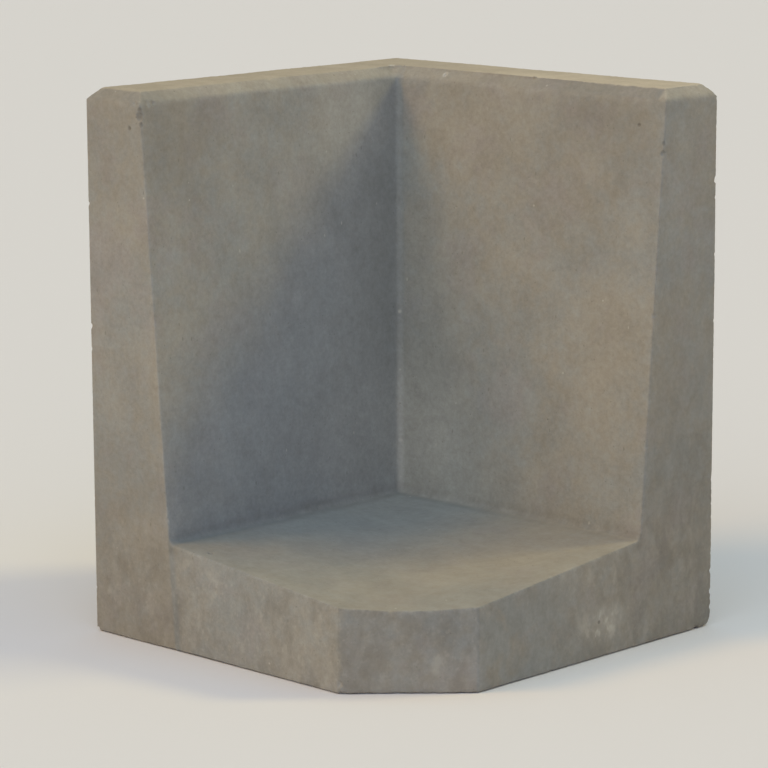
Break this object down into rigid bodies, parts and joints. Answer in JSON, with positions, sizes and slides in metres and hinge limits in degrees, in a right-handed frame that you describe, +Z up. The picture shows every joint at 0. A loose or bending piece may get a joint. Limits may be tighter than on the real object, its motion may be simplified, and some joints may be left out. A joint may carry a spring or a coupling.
{
  "type": "l-shaped retaining wall corner block",
  "caption": "Precast concrete corner block for a low retaining wall: battered walls meet at a right angle on a sloping foot whose free corner is cut off.",
  "frame": {"origin": "middle of the plan, on the underside of the foot", "axes": "+Z up along the walls. One wall runs along Y with its outer face at -X, the other along X with its outer face at +Y, so the walls' corner is at -X +Y and the foot's cut-off free corner at +X -Y."},
  "size_m": [0.4, 0.4, 0.5],
  "materials": {
    "concrete": "matte"
  },
  "bodies": {
    "root": {"corner_block": "concrete"}
  },
  "joints": []
}
